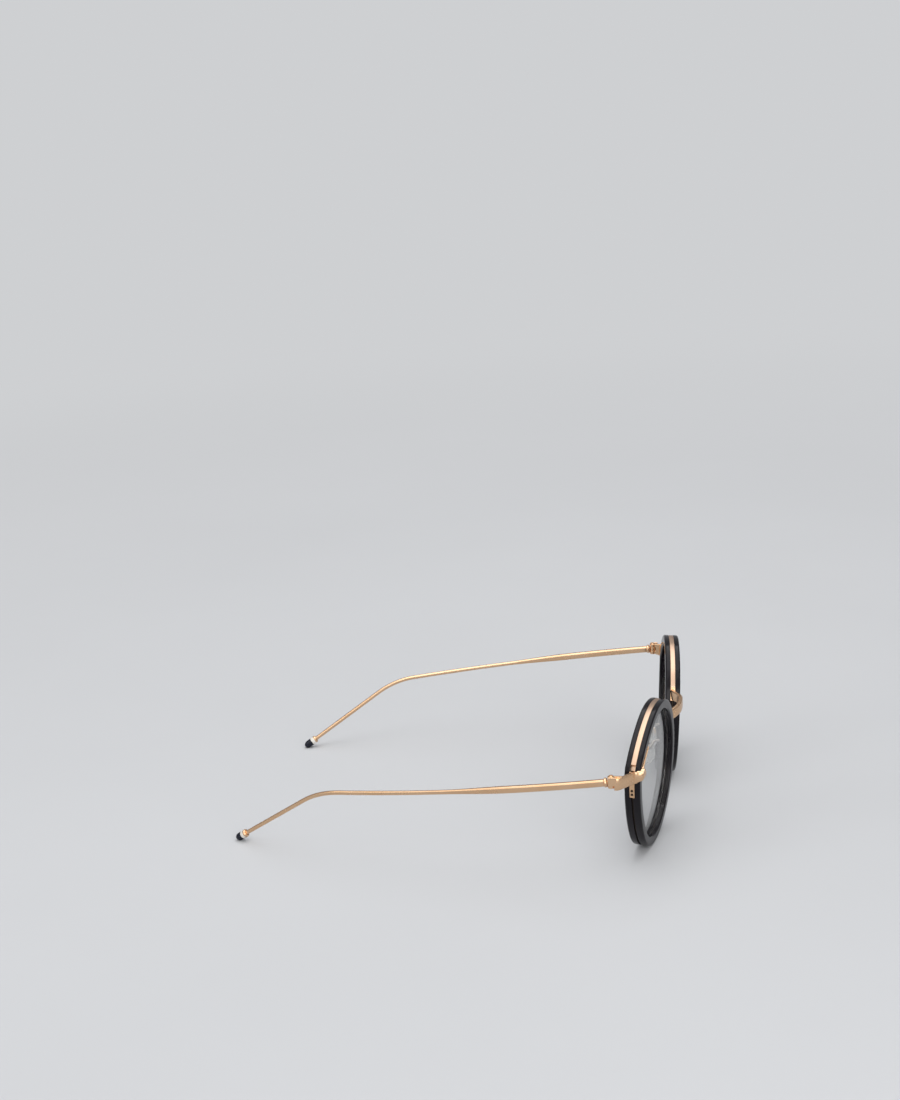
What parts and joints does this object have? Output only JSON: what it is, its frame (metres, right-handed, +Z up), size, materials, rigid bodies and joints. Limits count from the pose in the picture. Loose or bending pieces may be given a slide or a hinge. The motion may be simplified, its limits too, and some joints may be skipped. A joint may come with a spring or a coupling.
{
  "type": "round eyeglasses",
  "caption": "Round eyeglasses with dark acetate rims on a gold metal core, thin wire temples that fold, adjustable nose pads and small capped temple tips.",
  "frame": {"origin": "on the table plane, in the mirror plane, level with the middle of the rims' thickness", "axes": "+Z up, front faces -Y, temples run to +Y, the wearer's left is +X"},
  "size_m": [0.1406, 0.1565, 0.0512],
  "materials": {
    "acetate": "hand polished cellulose acetate, nearly black",
    "gold": "polished warm gold plating",
    "lens": "clear lens with anti-reflection coat",
    "pad": "clear soft silicone",
    "tip_ivory": "polished pale enamel",
    "tip_navy": "polished dark blue enamel"
  },
  "bodies": {
    "front": {"front_rim_right": "acetate", "front_rim_left": "acetate", "rear_rim_right": "acetate", "rear_rim_left": "acetate", "eyewire_right": "gold", "eyewire_left": "gold", "brow_band_right": "gold", "brow_band_left": "gold", "lens_right": "lens", "lens_left": "lens", "end_piece_right": "gold", "end_piece_left": "gold", "rim_lock_right": "gold", "rim_lock_left": "gold", "lock_screws_right": "gold", "lock_screws_left": "gold", "front_hinge_right": "gold", "front_hinge_left": "gold", "hinge_screw_right": "gold", "hinge_screw_left": "gold", "bridge": "gold", "pad_arm_right": "gold", "pad_arm_left": "gold", "pad_screw_right": "gold", "pad_screw_left": "gold"},
    "temple_right": {"temple_hinge_right": "gold", "temple_collar_right": "gold", "temple_arm_right": "gold", "tip_ferrule_right": "gold", "tip_ring_right": "tip_ivory", "tip_cap_right": "tip_navy"},
    "temple_left": {"temple_hinge_left": "gold", "temple_collar_left": "gold", "temple_arm_left": "gold", "tip_ferrule_left": "gold", "tip_ring_left": "tip_ivory", "tip_cap_left": "tip_navy"},
    "pad_right": {"nose_pad_right": "pad", "pad_insert_right": "gold"},
    "pad_left": {"nose_pad_left": "pad", "pad_insert_left": "gold"}
  },
  "joints": [
    {"name": "temple_fold_right", "type": "hinge", "parent": "front", "child": "temple_right", "pos_m": [-0.06857, 0.00901, 0.03576], "axis": [0, 0, -1], "range_deg": [0, 80]},
    {"name": "temple_fold_left", "type": "hinge", "parent": "front", "child": "temple_left", "pos_m": [0.06857, 0.00901, 0.03576], "axis": [0, 0, 1], "range_deg": [0, 73]},
    {"name": "pad_rock_right", "type": "hinge", "parent": "front", "child": "pad_right", "pos_m": [-0.00901, 0.00357, 0.02499], "axis": [0.4082, -0.9063, -0.1094], "range_deg": [-8, 8]},
    {"name": "pad_rock_left", "type": "hinge", "parent": "front", "child": "pad_left", "pos_m": [0.00901, 0.00357, 0.02499], "axis": [-0.4082, -0.9063, -0.1094], "range_deg": [-8, 8]}
  ]
}
